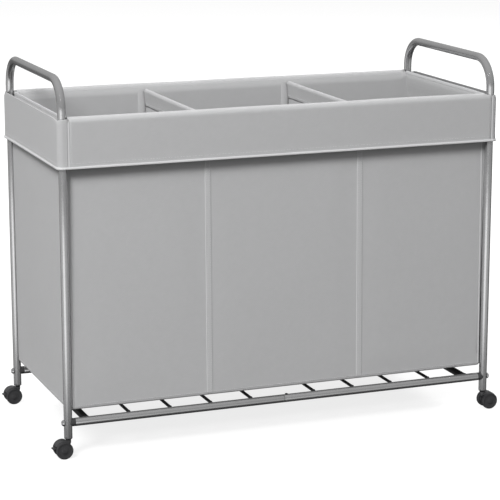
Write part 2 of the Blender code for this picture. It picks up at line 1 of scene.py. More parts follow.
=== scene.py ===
"""Looks of the three-compartment laundry sorter cart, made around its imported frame.

Metres, +Z up. The floor is z = 0, X runs along the cart and the front faces -Y.
"""
import json
import math

import bmesh
import bpy
from mathutils import Matrix, Vector, noise

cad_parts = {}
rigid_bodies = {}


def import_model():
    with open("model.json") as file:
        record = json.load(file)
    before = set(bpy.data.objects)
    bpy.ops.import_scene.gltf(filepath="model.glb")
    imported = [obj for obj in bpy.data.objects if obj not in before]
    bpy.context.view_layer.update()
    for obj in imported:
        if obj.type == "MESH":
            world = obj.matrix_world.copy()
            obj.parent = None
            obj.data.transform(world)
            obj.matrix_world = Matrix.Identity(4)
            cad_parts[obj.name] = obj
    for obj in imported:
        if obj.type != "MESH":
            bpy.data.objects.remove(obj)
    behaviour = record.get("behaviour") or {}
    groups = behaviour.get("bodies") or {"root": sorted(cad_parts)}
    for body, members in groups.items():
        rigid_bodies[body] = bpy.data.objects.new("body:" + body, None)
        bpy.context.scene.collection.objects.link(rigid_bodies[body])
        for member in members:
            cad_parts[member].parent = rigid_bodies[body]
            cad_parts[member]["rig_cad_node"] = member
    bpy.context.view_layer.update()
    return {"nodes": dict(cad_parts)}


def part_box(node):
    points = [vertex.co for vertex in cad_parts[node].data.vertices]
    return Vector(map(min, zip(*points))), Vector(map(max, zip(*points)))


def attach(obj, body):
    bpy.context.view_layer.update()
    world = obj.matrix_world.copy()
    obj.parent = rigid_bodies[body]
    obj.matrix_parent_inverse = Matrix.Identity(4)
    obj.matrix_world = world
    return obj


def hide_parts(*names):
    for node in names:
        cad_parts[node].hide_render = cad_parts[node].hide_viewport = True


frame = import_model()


# ---- dimensions
def middle(node):
    low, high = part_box(node)
    return (low + high) / 2


CORNERS = (("front_left", -1, -1), ("front_right", 1, -1), ("rear_left", -1, 1),
           ("rear_right", 1, 1))
LEG_X = middle("leg_rear_right").x
LEG_Y = middle("leg_rear_right").y
LEG_END_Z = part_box("leg_rear_right")[0].z
TUBE_R = 0.008
HANDLE_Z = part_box("handle_left")[1].z - TUBE_R
HANDLE_BEND_R = 0.056
SHOULDER_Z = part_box("handle_left")[0].z
TOP_RAIL_Z = middle("top_rail_front").z
RAIL_Z = middle("rail_sleeve_front").z
RAIL_END_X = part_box("base_panel_right")[1].x
CROSSBAR_X = 0.401
CROSSBAR_R = 0.0070
WIRE_R = 0.0030
WIRE_PITCH = 0.0836
WIRE_RISE = 0.0065

FABRIC = 0.0012
BAND_BOTTOM_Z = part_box("band_front")[0].z
BAND_TOP_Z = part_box("band_front")[1].z
BAND_END_TOP_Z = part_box("band_right")[1].z
BAND_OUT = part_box("band_right")[1].x - LEG_X - FABRIC / 2
SEAM_X = LEG_X - TUBE_R - 0.0013
LIP_DROP = 0.0095
HEM_HEIGHT = 0.0040
BAG_BOTTOM_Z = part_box("bag_floor")[0].z
PANEL_Y = -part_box("bag_front")[0].y - FABRIC / 2
PANEL_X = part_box("bag_right")[1].x - FABRIC / 2
RIM_Y = LEG_Y - TUBE_R - 0.0030
RIM_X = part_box("bag_right")[0].x + FABRIC / 2
LEAN_Z = 0.600
LINER_TOP_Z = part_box("bag_right")[1].z
DIVIDER_X = middle("divider_right").x
DIVIDER_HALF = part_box("divider_right")[1].y
ROD_Z = middle("divider_rod_right").z


# ---- materials
def new_material(name, values=()):
    """A material and its shader; values are (socket, value)."""
    mat = bpy.data.materials.new(name)
    mat.use_nodes = True
    shader = mat.node_tree.nodes["Principled BSDF"]
    for socket, value in values:
        shader.inputs[socket].default_value = value
    return mat, shader


def add_node(owner, kind, inputs=(), **settings):
    """A shader node of a material or the world; inputs are (socket, value or output socket)."""
    tree = owner.node_tree
    made = tree.nodes.new(kind)
    for key, value in settings.items():
        setattr(made, key, value)
    for socket, value in inputs:
        if isinstance(value, bpy.types.NodeSocket):
            tree.links.new(value, made.inputs[socket])
        else:
            made.inputs[socket].default_value = value
    return made


def ramp(owner, factor, stops):
    """Colour by a factor; stops are (position, colour), lowest first."""
    made = add_node(owner, "ShaderNodeValToRGB", [("Fac", factor)])
    elements = made.color_ramp.elements
    for element, (position, colour) in zip(elements, (stops[0], stops[-1])):
        element.position = position
        element.color = (*colour, 1.0)
    for position, colour in stops[1:-1]:
        elements.new(position).color = (*colour, 1.0)
    return made.outputs["Color"]


def greys(*stops):
    """Stops of a ramp, from (position, level)."""
    return [(position, (level, level, level)) for position, level in stops]


def shade(colour, factor):
    return tuple(min(c * factor, 1.0) for c in colour)


def shades(colour, low, high, start=0.3, end=0.7):
    """Stops of a ramp between two shades of one colour."""
    return [(start, shade(colour, low)), (end, shade(colour, high))]


def math_node(owner, operation, *values):
    return add_node(owner, "ShaderNodeMath", enumerate(values), operation=operation).outputs[0]


def cloud(mat, place, scale, detail, roughness=0.5):
    """Uneven patches of noise."""
    return add_node(mat, "ShaderNodeTexNoise", [
        ("Vector", place), ("Scale", scale), ("Detail", detail), ("Roughness", roughness),
    ]).outputs["Fac"]


def thread_wave(mat, place, direction, pitch):
    """Rounded ridges a thread apart, along one direction of the cloth."""
    ridges_per_metre = 2 * math.pi / (20 * pitch)
    made = add_node(mat, "ShaderNodeTexWave", [("Vector", place), ("Scale", ridges_per_metre)],
                    bands_direction=direction)
    return made.outputs["Fac"]


def object_place(mat):
    return add_node(mat, "ShaderNodeTexCoord").outputs["Object"]


def dress(mat, shader, tone, wear, roughness, height, strength, depth):
    """Wires a shader's colour, its roughness from a range spread over wear, and its bump."""
    rough = add_node(mat, "ShaderNodeMapRange", [
        ("Value", wear), ("To Min", roughness[0]), ("To Max", roughness[1]),
    ])
    bump = add_node(mat, "ShaderNodeBump", [
        ("Height", height), ("Strength", strength), ("Distance", depth),
    ])
    for socket, output in (("Base Color", tone), ("Roughness", rough.outputs[0]),
                           ("Normal", bump.outputs[0])):
        mat.node_tree.links.new(output, shader.inputs[socket])
    return mat


def fabric_material(name, colour):
    """Plain-woven coated polyester: crossed threads, slubs and a faint uneven tone."""
    mat, shader = new_material(name, (("Specular IOR Level", 0.3), ("Sheen Weight", 0.12),
                                      ("Sheen Roughness", 0.5)))
    place = add_node(mat, "ShaderNodeTexCoord").outputs["UV"]
    warp = thread_wave(mat, place, "X", THREAD_PITCH)
    weft = thread_wave(mat, place, "Y", THREAD_PITCH * 1.15)
    twill = thread_wave(mat, place, "DIAGONAL", THREAD_PITCH * 3.0)
    across = add_node(mat, "ShaderNodeMapping", [("Vector", place), ("Scale", (90, 1500, 1))])
    slub = cloud(mat, across.outputs[0], 1.0, 2.0)
    mottle = cloud(mat, place, 60.0, 6.0, 0.62)
    threads = math_node(mat, "ADD", math_node(mat, "MULTIPLY", warp, weft),
                        math_node(mat, "MULTIPLY", slub, 0.6))
    tone = ramp(mat, mottle, shades(colour, 0.985, 1.015))
    for factor, stops in ((threads, greys((0.15, 0.86), (0.95, 1.0))),
                          (twill, greys((0.2, 0.975), (0.8, 1.0)))):
        tone = add_node(mat, "ShaderNodeMix", [(0, 1.0), (6, tone), (7, ramp(mat, factor, stops))],
                        data_type="RGBA", blend_type="MULTIPLY").outputs[2]
    return dress(mat, shader, tone, mottle, (0.80, 0.92), threads, 0.55, 0.0004)


def binding_material(name, colour, pitch=0.0011):
    """Woven binding tape and thread: fine ribs and a soft uneven tone."""
    mat, shader = new_material(name, (("Specular IOR Level", 0.3),))
    place = object_place(mat)
    fuzz = cloud(mat, place, 900.0, 3.0)
    ribs = math_node(mat, "ADD", thread_wave(mat, place, "DIAGONAL", pitch), fuzz)
    tone = ramp(mat, ribs, shades(colour, 0.86, 1.03, end=1.0))
    return dress(mat, shader, tone, fuzz, (0.7, 0.9), ribs, 0.5, 0.0003)


def metal_material(name, colour, roughness, metallic=1.0):
    """Smooth finish over steel: a fine grain, soft handling marks and small tone changes."""
    mat, shader = new_material(name, (("Metallic", metallic),))
    place = object_place(mat)
    marks = cloud(mat, place, 26.0, 6.0, 0.7)
    return dress(mat, shader, ramp(mat, marks, shades(colour, 0.96, 1.04)), marks,
                 (roughness - 0.02, roughness + 0.03), cloud(mat, place, 1400.0, 2.0), 0.20,
                 0.00006)


def plastic_material(name, colour, roughness):
    """Moulded plastic with a fine spark-eroded grain and faint scuffs."""
    mat, shader = new_material(name)
    place = object_place(mat)
    scuffs = cloud(mat, place, 140.0, 6.0, 0.75)
    return dress(mat, shader, ramp(mat, scuffs, shades(colour, 0.8, 1.25, 0.35, 0.75)), scuffs,
                 (roughness - 0.08, roughness + 0.14), cloud(mat, place, 1900.0, 3.0), 0.4,
                 0.00008)


def board_material(name, colour):
    """Pressed fibre board covered with grey paper."""
    mat, shader = new_material(name)
    place = object_place(mat)
    fibres = add_node(mat, "ShaderNodeMapping", [("Vector", place), ("Scale", (1, 3, 1))])
    fleck = cloud(mat, fibres.outputs[0], 320.0, 8.0, 0.7)
    return dress(mat, shader, ramp(mat, fleck, shades(colour, 0.82, 1.1)), fleck,
                 (0.78, 0.95), fleck, 0.4, 0.0002)


THREAD_PITCH = 0.0008
GREY = (0.500, 0.501, 0.506)
cloth_grey = fabric_material("grey_cloth", GREY)
# A darker copy of the cloth for the bag's inside faces, floor and dividers: painted shade inside
# the bag.
bag_inside_painted_shade = fabric_material("grey_cloth_inner", shade(GREY, 0.93))
# A much darker copy of the cloth for the band's inner faces: painted shade under and inside the
# band.
band_inside_painted_shade = fabric_material("grey_band_inside_painted_shade", shade(GREY, 0.42))
strip_grey = binding_material("grey_strip", shade(GREY, 0.96))
# Lighter copies of the cloth for welts, hems and tapes: a painted highlight where folded edges
# catch the light.
welt_painted_highlight = binding_material("grey_welt_painted_highlight", shade(GREY, 1.12))
tape_painted_highlight = binding_material("grey_tape_painted_highlight", shade(GREY, 1.16))
thread_grey = binding_material("grey_thread", shade(GREY, 1.2), 0.0005)
satin_steel = metal_material("satin_steel", (0.54, 0.54, 0.545), 0.22, 0.85)
zinc_steel = metal_material("zinc_steel", (0.66, 0.66, 0.67), 0.22)
# Near-black steel: on the base wires and crossbars it is painted shade from the bag above; the
# sleeves, rods, screws, axles and stems take it as plain dark steel.
dark_steel_and_painted_shade = metal_material("dark_steel_and_painted_shade", (0.030, 0.030, 0.032), 0.45, 0.6)
wheel_black = plastic_material("wheel_black", (0.028, 0.028, 0.030), 0.42)
moulded_black = plastic_material("moulded_black", (0.045, 0.045, 0.047), 0.38)
fibre_board = board_material("fibre_board", (0.33, 0.33, 0.33))


# ---- shapes
def piece(name, bm, mat, body="cart", node=None, slot=None, smooth=40, location=(0, 0, 0),
          turn=0.0, recalc=True):
    """A named piece that rides on a body and may stand for one CAD node or several."""
    if recalc:
        bmesh.ops.recalc_face_normals(bm, faces=bm.faces)
    mesh = bpy.data.meshes.new(name)
    bm.to_mesh(mesh)
    bm.free()
    mesh.materials.append(mat)
    mesh.shade_smooth()
    mesh.set_sharp_from_angle(angle=math.radians(smooth))
    obj = bpy.data.objects.new(name, mesh)
    bpy.context.scene.collection.objects.link(obj)
    obj.location = location
    obj.rotation_euler = (0, 0, turn)
    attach(obj, body)
    if node:
        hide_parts(*([node] if isinstance(node, str) else node))
    return obj


def skin(bm, rings, loop=False):
    """Faces between closed rings of equal length, with end caps unless the rings make a loop."""
    rows = [[bm.verts.new(p) for p in ring] for ring in rings]
    count = len(rows[0])
    pairs = list(zip(rows, rows[1:]))
    if loop:
        pairs.append((rows[-1], rows[0]))
    for a, b in pairs:
        for i in range(count):
            j = (i + 1) % count
            bm.faces.new((a[i], a[j], b[j], b[i]))
    if not loop:
        bm.faces.new(rows[0])
        bm.faces.new(rows[-1])
    return bm


def sweep(bm, path, section, fixed, loop=False, scale=None):
    """A closed section carried along a path. Its first coordinate runs along fixed."""
    path = [Vector(p) for p in path]
    count = len(path)
    rings = []
    for i, point in enumerate(path):
        if loop:
            before, after = path[i - 1], path[(i + 1) % count]
        else:
            before, after = path[max(i - 1, 0)], path[min(i + 1, count - 1)]
        along = (after - before).normalized()
        first = Vector(fixed)
        first = (first - along * first.dot(along)).normalized()
        second = along.cross(first)
        size = 1.0 if scale is None else scale(i / (count - 1))
        rings.append([point + first * u * size + second * v * size for u, v in section])
    return skin(bm, rings, loop)


def circle(radius, sides):
    return [(radius * math.cos(2 * math.pi * i / sides),
             radius * math.sin(2 * math.pi * i / sides)) for i in range(sides)]


def rounded_bar(half_u, half_v, radius, steps=4):
    """Outline of a bar with rounded corners."""
    points = []
    for cu, cv, start in ((1, 1, 0), (-1, 1, 90), (-1, -1, 180), (1, -1, 270)):
        for i in range(steps + 1):
            angle = math.radians(start + 90 * i / steps)
            points.append((cu * (half_u - radius) + radius * math.cos(angle),
                           cv * (half_v - radius) + radius * math.sin(angle)))
    return points


TURNS = {
    "X": Matrix(((0, 0, 1), (1, 0, 0), (0, 1, 0))).to_4x4(),
    "Y": Matrix(((0, 1, 0), (0, 0, 1), (1, 0, 0))).to_4x4(),
    "Z": Matrix.Identity(4),
}    # each puts the axis of an outline, Z, along another axis


def rings_of(profile, sides, place):
    """Rings of a (radius, height) outline about its own axis, put in place."""
    return [[place @ Vector((u, v, height)) for u, v in circle(radius, sides)]
            for radius, height in profile]


def lathe(bm, profile, sides, axis="Z", at=(0, 0, 0), loop=False):
    """An outline turned about an axis; a loop is an outline that closes."""
    return skin(bm, rings_of(profile, sides, Matrix.Translation(at) @ TURNS[axis]), loop)


def arc(centre, radius_u, radius_v, start, end, steps):
    """Points along an ellipse, from one angle in degrees to another."""
    points = []
    for i in range(steps + 1):
        angle = math.radians(start + (end - start) * i / steps)
        points.append((centre[0] + radius_u * math.cos(angle),
                       centre[1] + radius_v * math.sin(angle)))
    return points


def smoothstep(x):
    x = min(max(x, 0.0), 1.0)
    return x * x * (3 - 2 * x)


def drift(a, b, size, seed):
    """Smooth unevenness from -1 to 1, the same on every run."""
    return noise.noise(Vector((a / size, b / size, seed)))


def ripple(a, b, waves):
    """Unevenness in metres, from the (depth, length, seed) of each wave."""
    return sum(depth * drift(a, b, length, seed) for depth, length, seed in waves)


def even(low, high, steps):
    """Heights or places spread evenly from one to the other."""
    return [low + (high - low) * k / steps for k in range(steps + 1)]


def cloth(name, rows, mat, nodes=None, closed=False, flat_uv=False,
          inner_face_shade=None, turn=0.0):
    """A piece of fabric from rows of points, with cloth coordinates in metres for its weave.

    It stands for the CAD node of its own name unless others are given. Its inner face may take
    a darker copy of the cloth, a painted shade. The rows are turned about the cart's middle.
    """
    rotate = Matrix.Rotation(turn, 3, "Z")
    rows = [[rotate @ p for p in row] for row in rows]
    bm = bmesh.new()
    layer = bm.loops.layers.uv.new("cloth")
    grid = [[bm.verts.new(p) for p in row] for row in rows]
    middle_row = rows[len(rows) // 2]
    count = len(rows[0])
    spans = count if closed else count - 1
    u = [0.0]
    for i in range(1, count + 1):
        u.append(u[-1] + (middle_row[i % count] - middle_row[i - 1]).length)
    v = [0.0]
    for k in range(1, len(rows)):
        v.append(v[-1] + (rows[k][count // 2] - rows[k - 1][count // 2]).length)
    for k in range(len(rows) - 1):
        for i in range(spans):
            j = (i + 1) % count
            face = bm.faces.new((grid[k][i], grid[k][j], grid[k + 1][j], grid[k + 1][i]))
            places = ((u[i], v[k]), (u[i + 1], v[k]), (u[i + 1], v[k + 1]), (u[i], v[k + 1]))
            for corner, place in zip(face.loops, places):
                corner[layer].uv = (corner.vert.co.x, corner.vert.co.y) if flat_uv else place
    bm.normal_update()
    bm.faces.ensure_lookup_table()
    sample = bm.faces[(len(rows) * 3 // 5) * spans + count // 5]
    centre = sample.calc_center_median()
    if sample.normal.dot(Vector((centre.x, centre.y, 0))) < 0:
        bmesh.ops.reverse_faces(bm, faces=bm.faces)
    made = piece(name, bm, mat, node=nodes or name.removesuffix("_cloth"), smooth=60,
                 recalc=False)
    solid = made.modifiers.new("thickness", "SOLIDIFY")
    solid.thickness = FABRIC
    solid.offset = 0.0
    solid.use_even_offset = True
    # The inner face takes the darker copy of the cloth that is given: painted shade.
    if inner_face_shade:
        made.data.materials.append(inner_face_shade)
        solid.material_offset = 1


STITCH = 0.0034
STITCH_GAP = 0.0013
THREAD_R = 0.00042


def stitch_row(bm, path, lift):
    """A row of thread stitches along a path; lift is the cloth's outward direction."""
    path = [Vector(p) for p in path]
    lift = Vector(lift)
    lengths = [0.0]
    for a, b in zip(path, path[1:]):
        lengths.append(lengths[-1] + (b - a).length)

    def at(distance):
        for k in range(1, len(path)):
            if distance <= lengths[k] or k == len(path) - 1:
                span = max(lengths[k] - lengths[k - 1], 1e-9)
                return path[k - 1].lerp(path[k], (distance - lengths[k - 1]) / span)

    distance = STITCH_GAP
    while distance + STITCH < lengths[-1]:
        start, end = at(distance), at(distance + STITCH)
        along = (end - start).normalized()
        side = along.cross(lift).normalized()
        up = side.cross(along)
        rings = []
        for share, size in ((0.0, 0.3), (0.22, 1.0), (0.78, 1.0), (1.0, 0.3)):
            centre = start.lerp(end, share) + up * THREAD_R * 0.4
            rings.append([centre + side * x * size + up * y * size
                          for x, y in circle(THREAD_R, 6)])
        skin(bm, rings)
        distance += STITCH + STITCH_GAP


# ---- tubes
TUBE_SIDES = 40
TUBE_WALL = 0.0012
TUBE_EDGE = 0.0006
END_DEPTH = 0.006


def straight_tube(bm, start, end, fixed):
    """A tube with softly rounded ends, closed with a disc a little inside each end."""
    start, end = Vector(start), Vector(end)
    along = (end - start).normalized()
    first = Vector(fixed)
    second = along.cross(first)
    bore, face = TUBE_R - TUBE_WALL, TUBE_R - TUBE_EDGE
    turn, turn_r = TUBE_EDGE * 0.3, TUBE_R - TUBE_EDGE * 0.3
    stops = [
        (start + along * END_DEPTH, bore), (start, bore), (start, face),
        (start + along * turn, turn_r), (start + along * TUBE_EDGE, TUBE_R),
        (end - along * TUBE_EDGE, TUBE_R), (end - along * turn, turn_r), (end, face),
        (end, bore), (end - along * END_DEPTH, bore),
    ]
    return skin(bm, [[point + first * u + second * v for u, v in circle(radius, TUBE_SIDES)]
                     for point, radius in stops])


def build_legs():
    for name, side_x, side_y in CORNERS:
        x, y = side_x * LEG_X, side_y * LEG_Y
        bm = straight_tube(bmesh.new(), (x, y, LEG_END_Z), (x, y, SHOULDER_Z), (1, 0, 0))
        piece(f"leg_tube_{name}", bm, satin_steel, node=f"leg_{name}")


def build_handles():
    """A loop over each end of the cart, in the same tube as the legs it rises from."""
    bend_y = LEG_Y - HANDLE_BEND_R
    bend_z = HANDLE_Z - HANDLE_BEND_R
    steps = 22
    outline = [(-LEG_Y, SHOULDER_Z)]
    outline += arc((-bend_y, bend_z), HANDLE_BEND_R, HANDLE_BEND_R, 180, 90, steps)
    outline += arc((bend_y, bend_z), HANDLE_BEND_R, HANDLE_BEND_R, 90, 0, steps)
    outline.append((LEG_Y, SHOULDER_Z))
    for name, side in (("left", -1), ("right", 1)):
        path = [(side * LEG_X, y, z) for y, z in outline]
        bm = sweep(bmesh.new(), path, circle(TUBE_R, TUBE_SIDES), (1, 0, 0))
        piece(f"handle_tube_{name}", bm, satin_steel, node=f"handle_{name}")


def bead(bm, at, radius, height):
    """A small weld bead: a flattened ball about an axis along Y."""
    profile = [(radius * math.cos(math.radians(a)), height * math.sin(math.radians(a)))
               for a in (-88, -60, -30, 0, 30, 60, 88)]
    return lathe(bm, profile, 14, "Y", at)


HALVES_GAP = 0.0003
CROSSBAR_WELD = (CROSSBAR_R + 0.0009, 0.0016)
WIRE_WELD = (WIRE_R + 0.0007, 0.0022)
WIRE_SAG = 0.0004
WIRE_END_Y = LEG_Y - 0.0045
CROSSBAR_END_Y = LEG_Y - TUBE_R + 0.001
WIRE_START = 0.8
WIRES_A_SIDE = 4


def build_base():
    """Base frame: two side tubes, a crossbar and wires on each half."""
    reach, end, z = CROSSBAR_END_Y, WIRE_END_Y, RAIL_Z + WIRE_RISE
    for name, side in (("left", -1), ("right", 1)):
        bm = bmesh.new()
        for y in (-LEG_Y, LEG_Y):
            straight_tube(bm, (side * HALVES_GAP, y, RAIL_Z), (side * RAIL_END_X, y, RAIL_Z),
                          (0, 0, 1))
        piece(f"base_tubes_{name}", bm, satin_steel, node=f"base_panel_{name}")
        bm = bmesh.new()
        x = side * CROSSBAR_X
        sweep(bm, [(x, -reach, RAIL_Z), (x, 0, RAIL_Z), (x, reach, RAIL_Z)],
              circle(CROSSBAR_R, 32), (0, 0, 1))
        for y in (-reach, reach):
            bead(bm, (x, y - math.copysign(0.0008, y), RAIL_Z), *CROSSBAR_WELD)
        for i in range(WIRES_A_SIDE):
            x = side * WIRE_PITCH * (i + WIRE_START)
            sweep(bm, [(x, -end, z), (x, 0, z - WIRE_SAG), (x, end, z)], circle(WIRE_R, 16),
                  (0, 0, 1))
            for y in (-end, end):
                bead(bm, (x, y - math.copysign(0.0012, y), z), *WIRE_WELD)
        # The wires and crossbar are near-black: painted shade from the bag above them.
        piece(f"base_wires_{name}", bm, dark_steel_and_painted_shade)


BOLT_SIDES = 36
BOLT_R = 0.0060
BOLT_HEIGHT = 0.0056
BOLT_RIM = 0.0011
BOLT_SEAT = TUBE_R - 0.0004
SHANK_R = 0.003
HEX_R = 0.0019
HEX_DEPTH = 0.0024


def hexagon(place, radius, height):
    """A hexagon with as many points as the bolt's rings."""
    ring = []
    for i in range(BOLT_SIDES):
        angle = 2 * math.pi * i / BOLT_SIDES
        fold = (angle + math.pi / 6) % (math.pi / 3) - math.pi / 6
        reach = radius * math.cos(math.pi / 6) / math.cos(fold)
        ring.append(place @ Vector((reach * math.cos(angle), reach * math.sin(angle), height)))
    return ring


def build_bolts():
    """Domed bolt heads with a hexagon socket, on the outer side of each leg."""
    profile = [(BOLT_R * 0.94, BOLT_SEAT), (BOLT_R, BOLT_SEAT + 0.0005),
               (BOLT_R, BOLT_SEAT + BOLT_RIM)]
    profile += [(BOLT_R * math.cos(math.radians(a)),
                 BOLT_SEAT + BOLT_RIM + (BOLT_HEIGHT - BOLT_RIM) * math.sin(math.radians(a)))
                for a in (12, 25, 38, 50, 60, 67)]
    top = profile[-1][1]
    low, high = BOLT_SEAT - 0.02, BOLT_SEAT + 0.0004
    shank = [(0.0002, low), (SHANK_R, low), (SHANK_R, high), (0.0002, high)]
    for name, side_x, side_y in CORNERS:
        place = Matrix.Translation((side_x * LEG_X, side_y * LEG_Y, RAIL_Z))
        place = place @ Matrix.Rotation(0.0 if side_x > 0 else math.pi, 4, "Z") @ TURNS["X"]
        rings = rings_of(profile, BOLT_SIDES, place)
        rings += [hexagon(place, HEX_R * 1.08, top), hexagon(place, HEX_R, top - 0.0002),
                  hexagon(place, HEX_R, top - HEX_DEPTH),
                  hexagon(place, HEX_R * 0.3, top - HEX_DEPTH - 0.0004)]
        bm = skin(bmesh.new(), rings)
        skin(bm, rings_of(shank, 16, place))
        piece(f"bolt_{name}", bm, zinc_steel, node=f"base_bolt_{name}", smooth=35)


# ---- band
LONG_BAND_WAVES = ((0.0006, 0.13, 2.3), (0.0002, 0.045, 5.1))
END_BAND_WAVES = ((0.0008, 0.12, 11.4), (0.0002, 0.04, 4.2))
HEM_ALLOWANCE = 0.012
HEM_FLARE = 0.0011
LIP_GAP, TUBE_GAP = 0.0016, 0.0011
END_SLACK, END_CURL, END_DIP = 0.0008, 0.0018, 0.0032
BAND_EASE = 0.05
BAND_SEAMS = ((-SEAM_X, -1), (LEG_X, -1), (SEAM_X, 1), (-LEG_X, 1))


def hem_flare(height):
    """How far the band's hem stands out, by its height above the edge."""
    return HEM_FLARE * smoothstep(1 - height / HEM_ALLOWANCE)


def build_long_band(name, turn):
    """Front band: an inner lip, a soft fold over the top rail and the hanging face.

    The rear one is the same piece, turned round.
    """
    inner, rise = TUBE_R + LIP_GAP, BAND_TOP_Z - FABRIC / 2 - TOP_RAIL_Z
    profile = [(-inner, TOP_RAIL_Z - LIP_DROP * (1 - i / 3)) for i in range(3)]
    profile += arc((0, TOP_RAIL_Z), -inner, rise, 0, 90, 6)
    profile += arc((0, TOP_RAIL_Z), BAND_OUT, rise, 90, 0, 6)[1:]
    profile += [(BAND_OUT, z) for z in even(TOP_RAIL_Z, BAND_BOTTOM_Z, 20)[1:]]
    low_x, high_x = -SEAM_X, LEG_X
    near_tube = TUBE_R + TUBE_GAP
    rows = []
    for out, z in profile:
        row = []
        for x in even(low_x, high_x, 110):
            ends = smoothstep(min(x - low_x, high_x - x) / BAND_EASE)
            free = smoothstep((TOP_RAIL_Z - z) / BAND_EASE) if out > 0 else 0.0
            away = out + ripple(x, z, LONG_BAND_WAVES) * free * ends
            if out > 0:
                away += hem_flare(z - BAND_BOTTOM_Z)
            top = smoothstep((z - TOP_RAIL_Z) / 0.006)
            height = z + 0.0007 * ends * top * drift(x, 0.0, 0.16, 8.7)
            beside = abs(x - high_x)
            if beside < near_tube:
                front = math.sqrt(near_tube ** 2 - beside ** 2)
                away = max(away, front)
                height = min(height, BAND_END_TOP_Z - 0.0022 * smoothstep(front / near_tube))
            row.append(Vector((x, -LEG_Y - away, height)))
        rows.append(row)
    cloth(f"band_{name}_cloth", rows, cloth_grey,
          inner_face_shade=band_inside_painted_shade, turn=turn)


def end_plan():
    """Right end band in plan, from its front seam to its rear seam."""
    plan = arc((LEG_X, -LEG_Y), BAND_OUT, BAND_OUT, -90, 0, 12)
    plan += [(LEG_X + BAND_OUT, y) for y in even(-LEG_Y, LEG_Y, 36)[1:-1]]
    plan += arc((LEG_X, LEG_Y), BAND_OUT, BAND_OUT, 0, 90, 12)
    plan += [((SEAM_X + LEG_X) / 2, LEG_Y + BAND_OUT), (SEAM_X, LEG_Y + BAND_OUT)]
    return [Vector((x, y, 0)) for x, y in plan]


def outward(plan, i):
    """Direction out of the cart at one point of a plan."""
    before, after = plan[max(i - 1, 0)], plan[min(i + 1, len(plan) - 1)]
    along = (after - before).normalized()
    return Vector((along.y, -along.x, 0))


def build_end_band(name, turn):
    """Right end band, wrapped round two tubes, with its edge curled in at the tubes."""
    plan = end_plan()
    height = BAND_END_TOP_Z - BAND_BOTTOM_Z
    rows = []
    for share in even(0.0, 1.0, 26):
        z = BAND_END_TOP_Z - height * share ** 1.25
        row = []
        for i, point in enumerate(plan):
            clear = smoothstep((LEG_Y - 0.012 - abs(point.y)) / BAND_EASE)
            slack = END_SLACK * math.cos(math.pi * point.y / (2 * LEG_Y)) * smoothstep(share)
            away = (ripple(point.y, z, END_BAND_WAVES) - slack) * clear
            away += hem_flare(z - BAND_BOTTOM_Z)
            at_tube = 1 - smoothstep((abs(abs(point.y) - LEG_Y) - 0.002) / 0.012)
            if point.x < LEG_X:
                at_tube *= smoothstep((point.x - SEAM_X) / (LEG_X - SEAM_X))
            away -= END_CURL * at_tube * smoothstep(1 - (BAND_END_TOP_Z - z) / 0.006)
            dip = END_DIP * at_tube * smoothstep(1 - (BAND_END_TOP_Z - z) / 0.03)
            row.append(point + outward(plan, i) * away + Vector((0, 0, z - dip)))
        rows.append(row)
    cloth(f"band_{name}_cloth", rows, cloth_grey,
          inner_face_shade=band_inside_painted_shade, turn=turn)


def build_band():
    """The band's four cloths, and the tape, seams and stitches round the whole of it."""
    build_long_band("front", 0.0)
    build_long_band("rear", math.pi)
    build_end_band("right", 0.0)
    build_end_band("left", math.pi)
    ring = end_plan()
    ring += [Vector((-p.x, -p.y, 0)) for p in ring]
    dense = []
    for a, b in zip(ring, ring[1:] + ring[:1]):
        parts = max(1, round((b - a).length / 0.012))
        dense += [a.lerp(b, k / parts) for k in range(parts)]
    normals = []
    for i in range(len(dense)):
        along = (dense[(i + 1) % len(dense)] - dense[i - 1]).normalized()
        normals.append(Vector((along.y, -along.x, 0)))
    # A binding tape folded over the hem's edge.
    section = [(-0.0007, 0.0), (-0.0003, -0.0010), (0.0004, -0.0013), (0.0020, -0.0012),
               (HEM_HEIGHT, -0.0009), (HEM_HEIGHT + 0.0002, 0.0), (HEM_HEIGHT, 0.0009),
               (0.0020, 0.0013), (0.0004, 0.0016), (-0.0003, 0.0012)]
    bm = bmesh.new()
    hem_path = [p + n * 0.0010 + Vector((0, 0, BAND_BOTTOM_Z)) for p, n in zip(dense, normals)]
    sweep(bm, hem_path, section[::-1], (0, 0, 1), loop=True)
    # The tape's lighter grey is a painted highlight where the hem's fold catches the light.
    piece("band_hem_tape", bm, tape_painted_highlight, smooth=70)
    # Upright seams where the long and the end pieces join.
    bm = bmesh.new()
    top = BAND_END_TOP_Z - 0.004
    for seam_x, seam_y in BAND_SEAMS:
        y = seam_y * (LEG_Y + BAND_OUT + FABRIC / 2)
        path = [(seam_x, y + seam_y * hem_flare(z - BAND_BOTTOM_Z), z)
                for z in even(BAND_BOTTOM_Z, top, 14)]
        sweep(bm, path, rounded_bar(0.0006, 0.0016, 0.0005, 3), (0, seam_y, 0),
              scale=lambda s: 0.6 + 0.4 * smoothstep(min(s, 1 - s) * 16))
    # The welts' lighter grey is a painted highlight on the raised seams.
    piece("band_seam_welts", bm, welt_painted_highlight, smooth=70)
    bm = bmesh.new()
    for height, lift in ((HEM_HEIGHT - 0.0012, 0.0022), (HEM_HEIGHT + 0.0060, 0.0006)):
        row = [p + n * (FABRIC / 2 + lift * 0.55) + Vector((0, 0, BAND_BOTTOM_Z + height))
               for p, n in zip(dense, normals)]
        for a, b, normal in zip(row, row[1:] + row[:1], normals):
            if (b - a).length > STITCH + 2 * STITCH_GAP:
                stitch_row(bm, [a, b], normal)
    for seam_x, seam_y in BAND_SEAMS:
        for offset in (-0.0042, 0.0042):
            x = seam_x + offset
            bulge = max(abs(x) - LEG_X, 0.0)
            y = seam_y * (LEG_Y + math.sqrt(BAND_OUT ** 2 - bulge ** 2) + FABRIC / 2)
            stitch_row(bm, [(x, y, BAND_BOTTOM_Z + 0.010), (x, y, top - 0.002)], (0, seam_y, 0))
    piece("band_stitches", bm, thread_grey, smooth=70)


